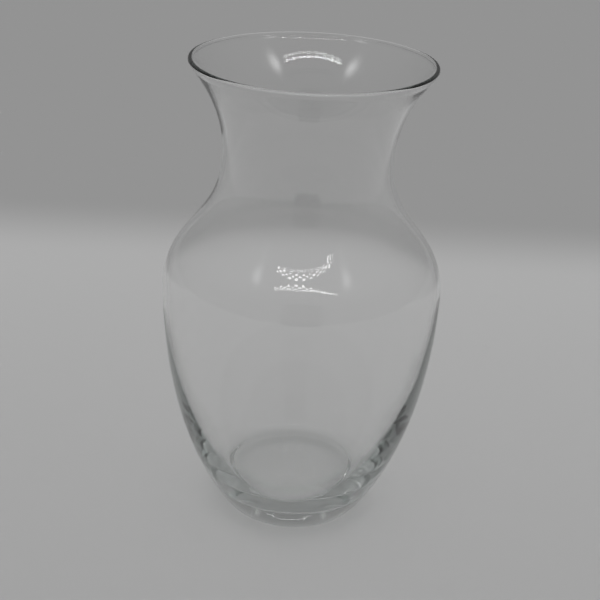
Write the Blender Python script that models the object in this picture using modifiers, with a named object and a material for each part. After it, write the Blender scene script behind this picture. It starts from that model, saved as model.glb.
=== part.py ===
# Flared glass vase: one blown piece of clear glass, standing on the ring round its foot.
# Metres, +Z up. The origin is the middle of the foot, on the surface that the vase stands on.
# The section is drawn once as (radius, height) points and turned about Z.

import math

import bpy
import numpy as np

OBJECT_NAME = "flared_glass_vase"

# Outside, from the foot up. Heights are stacked, so each one moves what stands on it.
FOOT_RADIUS = 0.0311  # outer edge of the flat ring that it stands on
HEEL_ROUND = 0.0050  # rounding between the foot ring and the wall
HEEL_LEAN = math.radians(41.0)  # lean of the wall off the vertical where it leaves the foot
BELLY_RADIUS = 0.0670
BELLY_HEIGHT = 0.1195  # from the foot to the widest part of the belly
NECK_RADIUS = 0.0397
SHOULDER_RISE = 0.0658  # from the belly to the narrowest part of the neck
LIP_RADIUS = 0.0563  # outer edge of the lip
FLARE_RISE = 0.0437  # from the neck to the top of the lip
LIP_LEAN = math.radians(17.0)  # lean of the flare off the vertical where it meets the lip

# Glass. The wall is thin above the belly, gathers towards the heel and thins out along the flare.
WALL = 0.0021
LIP_THICKNESS = 0.0018
LIP_GATHER = 0.0437  # length below the lip over which the wall thins to it
HEEL_WALL = 0.0085
HEEL_GATHER = 1.6  # how fast the wall thins from the heel up to the belly, as a power of the height left
FLOOR = 0.0170  # from the foot to the inner floor
CORNER_RISE = 0.0100  # height over which the inner floor rounds up into the inner wall
FOOT_RING = 0.0060  # width of the flat ring
PUSH_UP = 0.0008  # rise of the underside's middle above the foot ring

# Fullness of the curves, as shares of the height between the points that they join
BODY_FULLNESS = (0.115, 0.570)
SHOULDER_FULLNESS = (0.424, 0.533)
FLARE_FULLNESS = (0.600, 0.130)

# Fineness of the facets
TURN_STEPS = 48
BODY_STEPS = 14
SHOULDER_STEPS = 9
FLARE_STEPS = 8
HEEL_STEPS = 3
LIP_STEPS = 3  # for each half of the lip's rounding
CORNER_STEPS = 6
PUSH_UP_STEPS = 5
MERGE = 0.00001

GLASS_COLOUR = (0.80, 0.86, 0.84, 1.0)
GLASS_ROUGHNESS = 0.03
GLASS_INDEX = 1.52


def clear_scene():
    for old in list(bpy.data.objects):
        bpy.data.objects.remove(old, do_unlink=True)


def bezier(start, start_handle, end_handle, end, steps):
    t = np.linspace(0.0, 1.0, steps + 1)[:, None]
    return ((1 - t) ** 3 * start + 3 * (1 - t) ** 2 * t * start_handle
            + 3 * (1 - t) * t ** 2 * end_handle + t ** 3 * end)


def arc(centre, radius, first_angle, last_angle, steps):
    angles = np.linspace(first_angle, last_angle, steps + 1)
    return np.array(centre) + radius * np.column_stack((np.cos(angles), np.sin(angles)))


def lip_centre():
    top = BELLY_HEIGHT + SHOULDER_RISE + FLARE_RISE
    return np.array((LIP_RADIUS - LIP_THICKNESS / 2, top - LIP_THICKNESS / 2))


def outer_wall():
    """The outside from the end of the heel's rounding up to the lip, bottom to top."""
    heel = np.array((FOOT_RADIUS + HEEL_ROUND * math.cos(HEEL_LEAN), HEEL_ROUND * (1 - math.sin(HEEL_LEAN))))
    heel_way = np.array((math.sin(HEEL_LEAN), math.cos(HEEL_LEAN)))
    belly = np.array((BELLY_RADIUS, BELLY_HEIGHT))
    neck = np.array((NECK_RADIUS, BELLY_HEIGHT + SHOULDER_RISE))
    lip_way = np.array((math.sin(LIP_LEAN), math.cos(LIP_LEAN)))
    lip_out = np.array((math.cos(LIP_LEAN), -math.sin(LIP_LEAN)))
    lip = lip_centre() + LIP_THICKNESS / 2 * lip_out
    up = np.array((0.0, 1.0))
    body = bezier(heel, heel + BODY_FULLNESS[0] * BELLY_HEIGHT * heel_way,
                  belly - BODY_FULLNESS[1] * BELLY_HEIGHT * up, belly, BODY_STEPS)
    shoulder = bezier(belly, belly + SHOULDER_FULLNESS[0] * SHOULDER_RISE * up,
                      neck - SHOULDER_FULLNESS[1] * SHOULDER_RISE * up, neck, SHOULDER_STEPS)
    flare = bezier(neck, neck + FLARE_FULLNESS[0] * FLARE_RISE * up,
                   lip - FLARE_FULLNESS[1] * FLARE_RISE * lip_way, lip, FLARE_STEPS)
    return np.vstack((body, shoulder[1:], flare[1:]))


def glass_thickness(heights):
    """Thickness square to the wall: gathered below the belly, thinned towards the lip."""
    low = np.clip(1 - heights / BELLY_HEIGHT, 0, 1)
    top = lip_centre()[1]
    near_lip = np.clip(1 - (top - heights) / LIP_GATHER, 0, 1)
    return WALL + (HEEL_WALL - WALL) * low ** HEEL_GATHER + (LIP_THICKNESS - WALL) * near_lip ** 2


def inner_wall(outside):
    """The inside from the floor up to the lip: the outside moved in by the glass's thickness, over a round corner."""
    along = np.gradient(outside, axis=0)
    along /= np.linalg.norm(along, axis=1)[:, None]
    inward = np.column_stack((-along[:, 1], along[:, 0]))
    moved = outside + inward * glass_thickness(outside[:, 1])[:, None]
    corner_top = FLOOR + CORNER_RISE
    radius, across, up = (np.interp(corner_top, moved[:, 1], values) for values in (moved[:, 0], *along.T))
    turn = math.atan2(up, across)
    corner_radius = CORNER_RISE / (1 - math.cos(turn))
    centre = (radius - corner_radius * math.sin(turn), FLOOR + corner_radius)
    corner = arc(centre, corner_radius, -math.pi / 2, turn - math.pi / 2, CORNER_STEPS)
    return np.vstack((corner, moved[moved[:, 1] > corner_top]))


def underside():
    """From the middle of the underside out to the inner edge of the foot ring."""
    reach = FOOT_RADIUS - FOOT_RING
    share = np.linspace(0.0, 1.0, PUSH_UP_STEPS + 1)
    return np.column_stack((reach * share, PUSH_UP * (0.5 + 0.5 * np.cos(math.pi * share))))


def section():
    """Half of the vase's section, from the inner floor over the lip and down the outside to the underside."""
    outside = outer_wall()
    inside = inner_wall(outside)
    bead_inside = arc(lip_centre(), LIP_THICKNESS / 2, math.pi - LIP_LEAN, math.pi / 2, LIP_STEPS)
    bead_outside = arc(lip_centre(), LIP_THICKNESS / 2, math.pi / 2, 0.0, LIP_STEPS)
    heel = arc((FOOT_RADIUS, HEEL_ROUND), HEEL_ROUND, -HEEL_LEAN, -math.pi / 2, HEEL_STEPS)
    middle = np.array(((0.0, FLOOR),))
    return np.vstack((middle, inside[:-1], bead_inside, bead_outside[1:], outside[:0:-1], heel, underside()[::-1]))


def glass_material():
    material = bpy.data.materials.new("clear_glass")
    material.use_nodes = True
    shader = material.node_tree.nodes["Principled BSDF"]
    shader.inputs["Base Color"].default_value = GLASS_COLOUR
    shader.inputs["Roughness"].default_value = GLASS_ROUGHNESS
    shader.inputs["Metallic"].default_value = 0.0
    shader.inputs["IOR"].default_value = GLASS_INDEX
    shader.inputs["Transmission Weight"].default_value = 1.0
    return material


def turn_section(name, points, collection):
    mesh = bpy.data.meshes.new(name)
    vertices = [(radius, 0.0, height) for radius, height in points.tolist()]
    edges = [(index, index + 1) for index in range(len(vertices) - 1)]
    mesh.from_pydata(vertices, edges, [])
    turned = bpy.data.objects.new(name, mesh)
    collection.objects.link(turned)
    screw = turned.modifiers.new("Turn", "SCREW")
    screw.axis = "Z"
    screw.angle = 2 * math.pi
    screw.steps = TURN_STEPS
    screw.render_steps = TURN_STEPS
    screw.use_merge_vertices = True
    screw.merge_threshold = MERGE
    screw.use_smooth_shade = True
    return turned


def build_vase():
    clear_scene()
    collection = bpy.data.collections.new(OBJECT_NAME)
    bpy.context.scene.collection.children.link(collection)
    vase = turn_section("glass_vase", section(), collection)
    vase.data.materials.append(glass_material())


build_vase()
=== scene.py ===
import math

import bpy
from mathutils import Matrix, Vector


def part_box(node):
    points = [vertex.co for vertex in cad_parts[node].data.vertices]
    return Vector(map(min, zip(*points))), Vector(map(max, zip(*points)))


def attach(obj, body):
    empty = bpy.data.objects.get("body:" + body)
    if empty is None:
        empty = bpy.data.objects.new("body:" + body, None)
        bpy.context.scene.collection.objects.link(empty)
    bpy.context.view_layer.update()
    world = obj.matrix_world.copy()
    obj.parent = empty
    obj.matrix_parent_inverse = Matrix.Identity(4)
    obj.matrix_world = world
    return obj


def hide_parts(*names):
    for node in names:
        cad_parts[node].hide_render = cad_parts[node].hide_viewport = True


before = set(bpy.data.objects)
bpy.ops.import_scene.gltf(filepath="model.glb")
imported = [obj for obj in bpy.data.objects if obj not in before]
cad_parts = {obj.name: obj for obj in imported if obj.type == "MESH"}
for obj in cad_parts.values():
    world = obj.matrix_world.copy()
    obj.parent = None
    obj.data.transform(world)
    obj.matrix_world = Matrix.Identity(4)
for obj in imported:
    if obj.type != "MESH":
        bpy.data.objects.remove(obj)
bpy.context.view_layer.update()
print("frame loaded:", ", ".join(sorted(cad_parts)))


# Small helpers

def deselectAll():
    for other in bpy.context.selected_objects:
        other.select_set(False)


def activate(piece):
    deselectAll()
    piece.select_set(True)
    bpy.context.view_layer.objects.active = piece


def applyAll(piece):
    activate(piece)
    for modifier in list(piece.modifiers):
        bpy.ops.object.modifier_apply(modifier=modifier.name)


def newMaterial(name):
    material = bpy.data.materials.new(name)
    material.use_nodes = True
    return material, material.node_tree, material.node_tree.nodes["Principled BSDF"]


def addNode(tree, kind, **values):
    node = tree.nodes.new(kind)
    for key, value in values.items():
        if key in node.inputs:
            node.inputs[key].default_value = value
        else:
            setattr(node, key, value)
    return node


def mapRange(tree, fromMin, fromMax, toMin, toMax, kind="SMOOTHSTEP"):
    node = addNode(tree, "ShaderNodeMapRange", interpolation_type=kind)
    for name, value in (("From Min", fromMin), ("From Max", fromMax), ("To Min", toMin), ("To Max", toMax)):
        node.inputs[name].default_value = value
    return node


# The vase, in metres. Its outside is the turned solid's; the inner floor and the lip differ a little from it.

vase = {
    "footRadius": 0.0319,      # outer edge of the flat ring it stands on
    "ringWidth": 0.0081,       # of that flat ring
    "pushUp": 0.0008,          # rise of the underside inside the ring
    "heelRound": 0.0039,       # rounding between the ring and the wall
    "heelLean": 41.0,          # degrees off the vertical where the wall leaves the foot
    "bellyHeight": 0.1195,     # from the foot to the widest part
    "neckRadius": 0.0397,      # at the narrowest part
    "shoulderRise": 0.0658,    # from the belly up to the neck
    "lipRadius": 0.0563,       # outer edge of the mouth
    "lipLean": 17.0,           # degrees off the vertical where the flare meets the lip
    "lipThickness": 0.0022,    # the fire-polished bead
    "beadHeight": 0.0035,      # length over which the wall swells into the bead
    "lipWall": 0.0015,         # just below the bead
    "lipGather": 0.0437,       # the wall thins to that over this length
    "wall": 0.0021,            # at the belly and the neck
    "heelWall": 0.0090,        # gathered glass at the heel
    "heelGather": 2.25,        # how fast it thins up to the belly
    "floor": 0.0138,           # glass between the table and the edge of the inner floor
    "dome": 0.0013,            # the floor's middle stands this much higher
    "cornerRise": 0.0028,      # height of the round corner between inner floor and inner wall
    "segments": 48,
    # fullness of each curve, as shares of the height that it spans
    "bodyFullness": (0.115, 0.570),
    "shoulderFullness": (0.424, 0.533),
    "flareFullness": (0.545, 0.065),
    # rings of the cage in each part
    "bodyRings": 16,
    "shoulderRings": 12,
    "flareRings": 12,
    "heelRings": 4,
    "lipRings": 6,
    "cornerRings": 5,
    "discRings": (0.12, 0.35, 0.6, 0.85),  # shares of the underside's and the inner floor's radius
    "footRings": (0.33, 0.67),             # shares of the flat ring's width
    "boreShift": 0.0006,       # how far the blown hollow sits off the axis at the heel
    "lipShift": 0.0006,        # how far the mouth leans the other way
    "lipDip": 0.0008,          # how far its front edge hangs lower
    "waveSize": 0.035,         # of the slight waves in the blown walls
    "waveHeight": 0.00012,
    "waveStart": 0.006,        # they begin above this height
    "waveFade": 0.03,          # and are full this much higher
    # the front of the shoulder is a little uneven: size, height and spread of each swell
    "frontSwells": ((0.00069, 0.1385, 0.0060), (-0.00048, 0.1450, 0.0060), (0.00065, 0.1546, 0.0066)),
}

low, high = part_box("glass_vase")
vaseHeight = high.z
bellyRadius = high.x


def curve(start, startHandle, endHandle, end, steps):
    points = []
    corners = (start, startHandle, endHandle, end)
    for step in range(steps + 1):
        t = step / steps
        weights = ((1 - t) ** 3, 3 * (1 - t) ** 2 * t, 3 * (1 - t) * t ** 2, t ** 3)
        points.append(sum((w * p for w, p in zip(weights, corners)), Vector((0.0, 0.0))))
    return points


def roundCorner(centre, radius, firstDegrees, lastDegrees, steps):
    points = []
    for step in range(steps + 1):
        angle = math.radians(firstDegrees + (lastDegrees - firstDegrees) * step / steps)
        points.append(Vector((centre[0] + radius * math.cos(angle), centre[1] + radius * math.sin(angle))))
    return points


def outsideLine(v):
    # (radius, height) points of the outer wall, from the end of the heel's rounding up to the lip
    lean = math.radians(v["heelLean"])
    lipLean = math.radians(v["lipLean"])
    heel = Vector((v["footRadius"] + v["heelRound"] * math.cos(lean),
                   v["heelRound"] * (1 - math.sin(lean))))
    heelWay = Vector((math.sin(lean), math.cos(lean)))
    belly = Vector((bellyRadius, v["bellyHeight"]))
    neckHeight = v["bellyHeight"] + v["shoulderRise"]
    neck = Vector((v["neckRadius"], neckHeight))
    lipWay = Vector((math.sin(lipLean), math.cos(lipLean)))
    lipOut = Vector((math.cos(lipLean), -math.sin(lipLean)))
    lip = lipCentre(v) + v["lipThickness"] / 2 * lipOut
    flareRise = vaseHeight - neckHeight
    up = Vector((0.0, 1.0))
    body = curve(heel, heel + v["bodyFullness"][0] * v["bellyHeight"] * heelWay,
                 belly - v["bodyFullness"][1] * v["bellyHeight"] * up, belly, v["bodyRings"])
    shoulder = curve(belly, belly + v["shoulderFullness"][0] * v["shoulderRise"] * up,
                     neck - v["shoulderFullness"][1] * v["shoulderRise"] * up, neck, v["shoulderRings"])
    flare = curve(neck, neck + v["flareFullness"][0] * flareRise * up,
                  lip - v["flareFullness"][1] * flareRise * lipWay, lip, v["flareRings"])
    return body + shoulder[1:] + flare[1:]


def lipCentre(v):
    return Vector((v["lipRadius"] - v["lipThickness"] / 2, vaseHeight - v["lipThickness"] / 2))


def glassThickness(v, height):
    below = max(0.0, 1 - height / v["bellyHeight"])
    toLip = lipCentre(v).y - height
    nearLip = min(1.0, max(0.0, 1 - toLip / v["lipGather"]))
    nearBead = min(1.0, max(0.0, 1 - toLip / v["beadHeight"]))
    return (v["wall"] + (v["heelWall"] - v["wall"]) * below ** v["heelGather"]
            + (v["lipWall"] - v["wall"]) * nearLip ** 2
            + (v["lipThickness"] - v["lipWall"]) * nearBead ** 2)


def insideLine(v, outside):
    # the outer wall moved in by the glass's thickness, over a round corner from the inner floor
    moved = []
    for index, point in enumerate(outside):
        along = (outside[min(index + 1, len(outside) - 1)] - outside[max(index - 1, 0)]).normalized()
        moved.append((point + Vector((-along.y, along.x)) * glassThickness(v, point.y), along))
    cornerTop = v["floor"] + v["cornerRise"]
    above = [pair for pair in moved if pair[0].y > cornerTop]
    under = [pair for pair in moved if pair[0].y <= cornerTop][-1]
    share = (cornerTop - under[0].y) / (above[0][0].y - under[0].y)
    radius = under[0].x + share * (above[0][0].x - under[0].x)
    along = under[1].lerp(above[0][1], share)
    turn = math.degrees(math.atan2(along.y, along.x))
    cornerRadius = v["cornerRise"] / (1 - math.cos(math.radians(turn)))
    centre = (radius - cornerRadius * math.sin(math.radians(turn)), v["floor"] + cornerRadius)
    corner = roundCorner(centre, cornerRadius, -90.0, turn - 90.0, v["cornerRings"])
    return corner + [point for point, way in above]


def ringLine(v):
    # every ring of the cage: underside, heel, outer wall, lip, inner wall, inner floor
    outside = outsideLine(v)
    inside = insideLine(v, outside)
    ringInner = v["footRadius"] - v["ringWidth"]
    underside = [Vector((ringInner * share, v["pushUp"] * (0.5 + 0.5 * math.cos(math.pi * share))))
                 for share in v["discRings"] + (1.0,)]
    flat = [Vector((ringInner + v["ringWidth"] * share, 0.0)) for share in v["footRings"]]
    heel = roundCorner((v["footRadius"], v["heelRound"]), v["heelRound"],
                       -90.0, -v["heelLean"], v["heelRings"])
    lip = roundCorner(lipCentre(v), v["lipThickness"] / 2,
                      -v["lipLean"], 180.0 - v["lipLean"], v["lipRings"])
    floorEdge = inside[0].x
    floorRings = [Vector((floorEdge * share, v["floor"] + v["dome"] * (1 - share ** 2)))
                  for share in v["discRings"][::-1]]
    line = underside + flat + heel + outside[1:-1] + lip + inside[-2::-1] + floorRings
    # subdivision draws a cage inwards, so its rings stand out from the curve by as much
    cage = [line[0]]
    for before, here, after in zip(line, line[1:], line[2:]):
        cage.append(here + (2 * here - before - after) / 6)
    cage.append(line[-1])
    widen = 6 / (4 + 2 * math.cos(2 * math.pi / v["segments"]))
    return [Vector((point.x * widen, point.y)) for point in cage]


def ringShift(v, height, inner):
    # how far along X the centre of a ring sits off the axis
    neck = v["bellyHeight"] + v["shoulderRise"]
    atHeel = -v["boreShift"] * max(0.0, 1 - height / v["bellyHeight"]) if inner else 0.0
    return atHeel + v["lipShift"] * max(0.0, (height - neck) / (vaseHeight - neck))


def swellFront(piece, v):
    for vertex in piece.data.vertices:
        reach = math.hypot(vertex.co.x, vertex.co.y)
        if vertex.co.y < 0:
            facing = (vertex.co.y / reach) ** 2
            out = sum(size * math.exp(-((vertex.co.z - height) / spread) ** 2 / 2)
                      for size, height, spread in v["frontSwells"])
            vertex.co.xy *= 1 + facing * out / reach


def dipMouth(piece, v):
    # the front of the flare hangs a little lower, all of it at the lip
    neck = v["bellyHeight"] + v["shoulderRise"]
    for vertex in piece.data.vertices:
        rise = max(0.0, (vertex.co.z - neck) / (vaseHeight - neck))
        forward = max(0.0, -vertex.co.y / v["lipRadius"])
        vertex.co.z -= v["lipDip"] * rise ** 2 * forward


def keepInside(piece):
    # the waves must not carry the glass past the solid's own size
    tallest = max(vertex.co.z for vertex in piece.data.vertices)
    widest = max(max(abs(vertex.co.x), abs(vertex.co.y)) for vertex in piece.data.vertices)
    size = min(1.0, vaseHeight / tallest, bellyRadius / widest)
    piece.scale = (size, size, size)
    activate(piece)
    bpy.ops.object.transform_apply(location=False, rotation=False, scale=True)


def makeVase(v):
    rings = ringLine(v)
    topRing = max(range(len(rings)), key=lambda index: rings[index].y)
    deselectAll()
    bpy.ops.mesh.primitive_circle_add(vertices=v["segments"], radius=rings[0].x, fill_type="NGON",
                                      location=(0.0, 0.0, rings[0].y))
    piece = bpy.context.object
    piece.name = "blownGlass"
    piece.data.name = "blownGlass"
    bpy.ops.object.transform_apply(location=True, rotation=True, scale=True)
    bpy.ops.object.mode_set(mode="EDIT")
    bpy.ops.mesh.select_all(action="SELECT")
    for index in range(1, len(rings)):
        last, here = rings[index - 1], rings[index]
        lastShift = ringShift(v, last.y, index - 1 > topRing)
        shift = ringShift(v, here.y, index > topRing)
        step = (shift - lastShift, 0.0, here.y - last.y)
        bpy.ops.mesh.extrude_region_move(TRANSFORM_OT_translate={"value": step})
        size = here.x / last.x
        bpy.ops.transform.resize(value=(size, size, 1.0), center_override=(shift, 0.0, here.y))
    bpy.ops.mesh.select_all(action="SELECT")
    bpy.ops.mesh.remove_doubles(threshold=0.000001)
    bpy.ops.mesh.normals_make_consistent(inside=False)
    bpy.ops.object.mode_set(mode="OBJECT")
    smooth = piece.modifiers.new("Smooth", "SUBSURF")
    smooth.levels = 2
    smooth.render_levels = 2
    waves = bpy.data.textures.new("glassWaves", "CLOUDS")
    waves.noise_scale = v["waveSize"]
    waves.noise_depth = 0
    walls = piece.vertex_groups.new(name="walls")
    for vertex in piece.data.vertices:
        weight = min(1.0, max(0.0, (vertex.co.z - v["waveStart"]) / v["waveFade"]))
        walls.add([vertex.index], weight, "REPLACE")
    ripple = piece.modifiers.new("Ripple", "DISPLACE")
    ripple.texture = waves
    ripple.texture_coords = "LOCAL"
    ripple.strength = v["waveHeight"]
    ripple.mid_level = 0.5
    ripple.vertex_group = "walls"
    applyAll(piece)
    piece.vertex_groups.clear()
    swellFront(piece, v)
    dipMouth(piece, v)
    keepInside(piece)
    bpy.ops.object.shade_smooth()
    return piece


glass = {
    "index": 1.52,                      # of refraction
    "tint": (0.635, 0.675, 0.66, 1.0),  # what thick glass lets through
    "density": 8.0,                     # how fast it dims, per metre
    "rippleHeight": 0.00002,
    "rippleStrength": 0.35,
    "rippleScale": 90.0,
    "rippleStretch": 0.45,              # drawn out up the wall
    "smudge": 0.03,                     # most roughness where it was handled
    "smudgeScale": 22.0,
    "smudgeSpread": (0.5, 0.8),         # levels of the noise between which a smudge grows
}


def makeGlassMaterial(g):
    material, tree, shader = newMaterial("clearGlass")
    shader.inputs["Base Color"].default_value = (1.0, 1.0, 1.0, 1.0)
    shader.inputs["IOR"].default_value = g["index"]
    shader.inputs["Transmission Weight"].default_value = 1.0
    place = addNode(tree, "ShaderNodeTexCoord")
    stretch = addNode(tree, "ShaderNodeMapping")
    stretch.inputs["Scale"].default_value = (1.0, 1.0, g["rippleStretch"])
    draw = addNode(tree, "ShaderNodeTexNoise", Scale=g["rippleScale"], Detail=2.0)
    bump = addNode(tree, "ShaderNodeBump", Strength=g["rippleStrength"], Distance=g["rippleHeight"])
    smudge = addNode(tree, "ShaderNodeTexNoise", Scale=g["smudgeScale"], Detail=4.0, Roughness=0.6)
    level = mapRange(tree, g["smudgeSpread"][0], g["smudgeSpread"][1], 0.0, g["smudge"], "LINEAR")
    tree.links.new(place.outputs["Object"], stretch.inputs["Vector"])
    tree.links.new(stretch.outputs["Vector"], draw.inputs["Vector"])
    tree.links.new(draw.outputs["Fac"], bump.inputs["Height"])
    tree.links.new(bump.outputs["Normal"], shader.inputs["Normal"])
    tree.links.new(place.outputs["Object"], smudge.inputs["Vector"])
    tree.links.new(smudge.outputs["Fac"], level.inputs["Value"])
    tree.links.new(level.outputs["Result"], shader.inputs["Roughness"])
    depth = addNode(tree, "ShaderNodeVolumeAbsorption")
    depth.inputs["Color"].default_value = g["tint"]
    depth.inputs["Density"].default_value = g["density"]
    tree.links.new(depth.outputs["Volume"], tree.nodes["Material Output"].inputs["Volume"])
    return material


blownGlass = makeVase(vase)
blownGlass.data.materials.append(makeGlassMaterial(glass))
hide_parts("glass_vase")
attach(blownGlass, "root")
print("vase made:", len(blownGlass.data.polygons), "faces")


# The camera stands where the photograph was taken from, looking down at the vase

camera = {
    "distance": 0.53096,
    "height": 0.35631,
    "turn": -0.045,   # this and the next two in degrees
    "down": 24.87,
    "roll": 2.87,
    "focal": 1200.0,  # pixels of the 600 pixel frame
    "frame": 600.0,
    "sensor": 36.0,
}


def makeCamera(c):
    turn, down, roll = (math.radians(c[key]) for key in ("turn", "down", "roll"))
    ahead = Vector((math.sin(turn) * math.cos(down), math.cos(turn) * math.cos(down), -math.sin(down)))
    levelRight = Vector((math.cos(turn), -math.sin(turn), 0.0))
    levelUp = levelRight.cross(ahead)
    right = math.cos(roll) * levelRight + math.sin(roll) * levelUp
    up = math.cos(roll) * levelUp - math.sin(roll) * levelRight
    deselectAll()
    bpy.ops.object.camera_add()
    lens = bpy.context.object
    lens.name = "photoCamera"
    place = Vector((0.0, -c["distance"], c["height"]))
    columns = Matrix((right, up, -ahead)).transposed().to_4x4()
    lens.matrix_world = Matrix.Translation(place) @ columns
    lens.data.sensor_width = c["sensor"]
    lens.data.lens = c["focal"] * c["sensor"] / c["frame"]
    lens.data.clip_start = 0.01
    lens.data.dof.use_dof = False
    bpy.context.scene.camera = lens


makeCamera(camera)
print("camera placed")


# The stage: pale paper that fades into a slightly darker surround, under soft light from all sides; painted
# shade in the paper's colour darkens it in front of the vase and behind it

stage = {
    "floorDrop": 0.0003,       # the paper lies this far under the foot
    "floorSize": 12.0,
    "floorTone": 0.62,
    "paintedFrontShade": 0.88,         # painted shade: the paper in front of the vase is this much of that
    "nearStart": -0.12,        # and gains the rest between these distances along Y
    "nearEnd": 0.27,
    "paintedBackShade": 0.44,
    "fadeStart": 0.30,         # painted shade: the paper's tone darkens between these distances behind the vase, where a sweep would turn up into less light
    "fadeEnd": 0.42,
    "light": 0.66,             # what lights the paper
    "lowTone": 0.275,          # what the glass mirrors, level with it
    "highTone": 0.40,          # and overhead
    "riseStart": 0.32,         # sine of the angle where the surround begins to brighten
    "riseEnd": 0.78,
    "frontShade": 0.8,         # the camera's side of the surround is this much of the rest
    "shadeStart": -0.85,       # and gains the rest between these directions along Y
    "shadeEnd": -0.25,
}


def makeFloor(s):
    deselectAll()
    bpy.ops.mesh.primitive_plane_add(size=s["floorSize"], location=(0.0, 0.0, -s["floorDrop"]))
    floor = bpy.context.object
    floor.name = "paper"
    material, tree, shader = newMaterial("palePaper")
    shader.inputs["Roughness"].default_value = 0.9
    shader.inputs["Specular IOR Level"].default_value = 0.1
    place = addNode(tree, "ShaderNodeTexCoord")
    split = addNode(tree, "ShaderNodeSeparateXYZ")
    # painted shade: the paper's colour darkens behind the vase, standing in for a sweep that turns away from
    # the light
    fade = mapRange(tree, s["fadeStart"], s["fadeEnd"], s["floorTone"], s["paintedBackShade"])
    # painted shade: the paper's colour darkens towards the front of the vase
    near = mapRange(tree, s["nearStart"], s["nearEnd"], s["paintedFrontShade"], 1.0, "LINEAR")
    both = addNode(tree, "ShaderNodeMath", operation="MULTIPLY")
    tree.links.new(place.outputs["Object"], split.inputs["Vector"])
    tree.links.new(split.outputs["Y"], fade.inputs["Value"])
    tree.links.new(split.outputs["Y"], near.inputs["Value"])
    tree.links.new(fade.outputs["Result"], both.inputs[0])
    tree.links.new(near.outputs["Result"], both.inputs[1])
    tree.links.new(both.outputs["Value"], shader.inputs["Base Color"])
    floor.data.materials.append(material)


def makeWorld(s):
    # an even light for the paper, and a toned surround for the camera and for what the glass shows of it
    world = bpy.data.worlds.new("softSurround")
    bpy.context.scene.world = world
    world.use_nodes = True
    tree = world.node_tree
    light = tree.nodes["Background"]
    light.inputs["Color"].default_value = (1.0, 1.0, 1.0, 1.0)
    light.inputs["Strength"].default_value = s["light"]
    seen = addNode(tree, "ShaderNodeBackground")
    way = addNode(tree, "ShaderNodeTexCoord")
    split = addNode(tree, "ShaderNodeSeparateXYZ")
    rise = mapRange(tree, s["riseStart"], s["riseEnd"], s["lowTone"], s["highTone"])
    shade = mapRange(tree, s["shadeStart"], s["shadeEnd"], s["frontShade"], 1.0)
    both = addNode(tree, "ShaderNodeMath", operation="MULTIPLY")
    tree.links.new(way.outputs["Generated"], split.inputs["Vector"])
    tree.links.new(split.outputs["Z"], rise.inputs["Value"])
    tree.links.new(split.outputs["Y"], shade.inputs["Value"])
    tree.links.new(rise.outputs["Result"], both.inputs[0])
    tree.links.new(shade.outputs["Result"], both.inputs[1])
    tree.links.new(both.outputs["Value"], seen.inputs["Strength"])
    path = addNode(tree, "ShaderNodeLightPath")
    bounced = addNode(tree, "ShaderNodeMath", operation="ADD")
    unlit = addNode(tree, "ShaderNodeMath", operation="LESS_THAN")
    unlit.inputs[1].default_value = 0.5
    clean = addNode(tree, "ShaderNodeMath", operation="MULTIPLY")
    looked = addNode(tree, "ShaderNodeMath", operation="ADD", use_clamp=True)
    mix = addNode(tree, "ShaderNodeMixShader")
    tree.links.new(path.outputs["Is Glossy Ray"], bounced.inputs[0])
    tree.links.new(path.outputs["Is Transmission Ray"], bounced.inputs[1])
    tree.links.new(path.outputs["Diffuse Depth"], unlit.inputs[0])
    tree.links.new(bounced.outputs["Value"], clean.inputs[0])
    tree.links.new(unlit.outputs["Value"], clean.inputs[1])
    tree.links.new(clean.outputs["Value"], looked.inputs[0])
    tree.links.new(path.outputs["Is Camera Ray"], looked.inputs[1])
    tree.links.new(looked.outputs["Value"], mix.inputs["Fac"])
    tree.links.new(light.outputs["Background"], mix.inputs[1])
    tree.links.new(seen.outputs["Background"], mix.inputs[2])
    tree.links.new(mix.outputs["Shader"], tree.nodes["World Output"].inputs["Surface"])


# Cards round the vase that only its reflections show. Radiance is what a mirror would show at the
# dimmest and the brightest spot of each, pitch the spacing of its lamps, and beam where its lamps fade,
# from straight below at 0 to the side at 1.

lampEdge = 0.8  # a lamp reaches full brightness at this share of its wave

cards = {
    "stripOverFlare": {"place": (0.0115, -0.245, 0.6), "size": (0.441, 0.020), "radiance": (0.5, 40.0),
                       "pitch": (0.0560, 0.0150)},
    "stripOverShoulder": {"place": (0.045, -0.417, 0.6), "size": (0.512, 0.022), "turn": (0.0, 0.0, -2.6),
                          "radiance": (0.5, 16.0), "beam": (0.27, 0.33), "pitch": (0.0560, 0.0150)},
    "glowLeft": {"place": (-0.3, -0.215, 0.57), "size": (0.2, 0.25), "turn": (0.0, 90.0, 0.0),
                 "radiance": (0.4, 3.0)},
    "glowRight": {"place": (0.3, -0.215, 0.57), "size": (0.2, 0.25), "turn": (0.0, 90.0, 0.0),
                  "radiance": (0.4, 3.0)},
    "tentOpening": {"place": (0.015, -0.541, 0.2785), "size": (0.31, 0.357), "turn": (90.0, 0.0, 0.0),
                    "radiance": (0.0, 0.0), "corner": 0.05},
}


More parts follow.
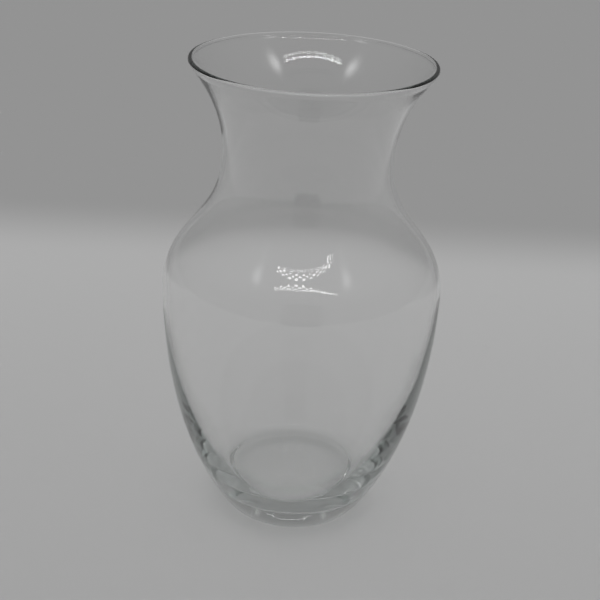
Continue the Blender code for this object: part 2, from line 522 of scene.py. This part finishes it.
def lineOfLamps(tree, card):
    # staggered rows of small lamps: the product of two waves is bright on every other crossing
    place = addNode(tree, "ShaderNodeTexCoord")
    split = addNode(tree, "ShaderNodeSeparateXYZ")
    both = addNode(tree, "ShaderNodeMath", operation="MULTIPLY")
    tree.links.new(place.outputs["Object"], split.inputs["Vector"])
    for index, axis in enumerate("XY"):
        count = addNode(tree, "ShaderNodeMath", operation="MULTIPLY")
        count.inputs[1].default_value = 2 * math.pi / card["pitch"][index]
        wave = addNode(tree, "ShaderNodeMath", operation="COSINE")
        tree.links.new(split.outputs[axis], count.inputs[0])
        tree.links.new(count.outputs["Value"], wave.inputs[0])
        tree.links.new(wave.outputs["Value"], both.inputs[index])
    level = mapRange(tree, 0.0, lampEdge, card["radiance"][0], card["radiance"][1])
    tree.links.new(both.outputs["Value"], level.inputs["Value"])
    if "beam" not in card:
        return level.outputs["Result"]
    facing = addNode(tree, "ShaderNodeLayerWeight")
    fade = mapRange(tree, card["beam"][0], card["beam"][1], 1.0, 0.0)
    dimmed = addNode(tree, "ShaderNodeMath", operation="MULTIPLY")
    tree.links.new(facing.outputs["Facing"], fade.inputs["Value"])
    tree.links.new(fade.outputs["Result"], dimmed.inputs[0])
    tree.links.new(level.outputs["Result"], dimmed.inputs[1])
    return dimmed.outputs["Value"]


def softPatch(tree, card):
    # brightest in the middle, down to the dimmest at an oval edge
    place = addNode(tree, "ShaderNodeTexCoord")
    spread = addNode(tree, "ShaderNodeVectorMath", operation="MULTIPLY")
    spread.inputs[1].default_value = (2 / card["size"][0], 2 / card["size"][1], 0.0)
    reach = addNode(tree, "ShaderNodeVectorMath", operation="LENGTH")
    level = mapRange(tree, 0.0, 1.0, card["radiance"][1], card["radiance"][0])
    tree.links.new(place.outputs["Object"], spread.inputs[0])
    tree.links.new(spread.outputs["Vector"], reach.inputs[0])
    tree.links.new(reach.outputs["Value"], level.inputs["Value"])
    return level.outputs["Result"]


def makeCard(name, card):
    deselectAll()
    bpy.ops.mesh.primitive_plane_add(size=1.0)
    piece = bpy.context.object
    piece.name = name
    piece.scale = (card["size"][0], card["size"][1], 1.0)
    bpy.ops.object.transform_apply(location=False, rotation=False, scale=True)
    if "corner" in card:
        bpy.ops.object.mode_set(mode="EDIT")
        bpy.ops.mesh.select_all(action="SELECT")
        bpy.ops.mesh.bevel(offset=card["corner"], segments=6, affect="VERTICES")
        bpy.ops.object.mode_set(mode="OBJECT")
    piece.location = card["place"]
    piece.rotation_euler = [math.radians(angle) for angle in card.get("turn", (0.0, 0.0, 0.0))]
    material, tree, shader = newMaterial(name)
    tree.nodes.remove(shader)
    lamp = addNode(tree, "ShaderNodeEmission")
    lamp.inputs["Strength"].default_value = card["radiance"][1]
    if "pitch" in card:
        tree.links.new(lineOfLamps(tree, card), lamp.inputs["Strength"])
    elif "corner" not in card:
        tree.links.new(softPatch(tree, card), lamp.inputs["Strength"])
    # light that has only passed through the glass goes past the card, so it shows in reflections alone
    path = addNode(tree, "ShaderNodeLightPath")
    clear = addNode(tree, "ShaderNodeBsdfTransparent")
    mix = addNode(tree, "ShaderNodeMixShader")
    mirrored = addNode(tree, "ShaderNodeMath", operation="MINIMUM")
    mirrored.inputs[1].default_value = 1.0
    tree.links.new(path.outputs["Glossy Depth"], mirrored.inputs[0])
    tree.links.new(mirrored.outputs["Value"], mix.inputs["Fac"])
    tree.links.new(clear.outputs["BSDF"], mix.inputs[1])
    tree.links.new(lamp.outputs["Emission"], mix.inputs[2])
    tree.links.new(mix.outputs["Shader"], tree.nodes["Material Output"].inputs["Surface"])
    material.cycles.emission_sampling = "NONE"
    piece.data.materials.append(material)
    piece.visible_camera = False
    piece.visible_diffuse = False
    piece.visible_shadow = False


makeFloor(stage)
makeWorld(stage)
for cardName, cardValues in cards.items():
    makeCard(cardName, cardValues)
print("stage and light ready")

scene = bpy.context.scene
scene.view_settings.view_transform = "Standard"
# light runs a long way inside the walls, and its reflections stay sharp
glassBounces = 64
scene.cycles.max_bounces = glassBounces
scene.cycles.transmission_bounces = glassBounces
scene.cycles.glossy_bounces = glassBounces
scene.cycles.blur_glossy = 0.0
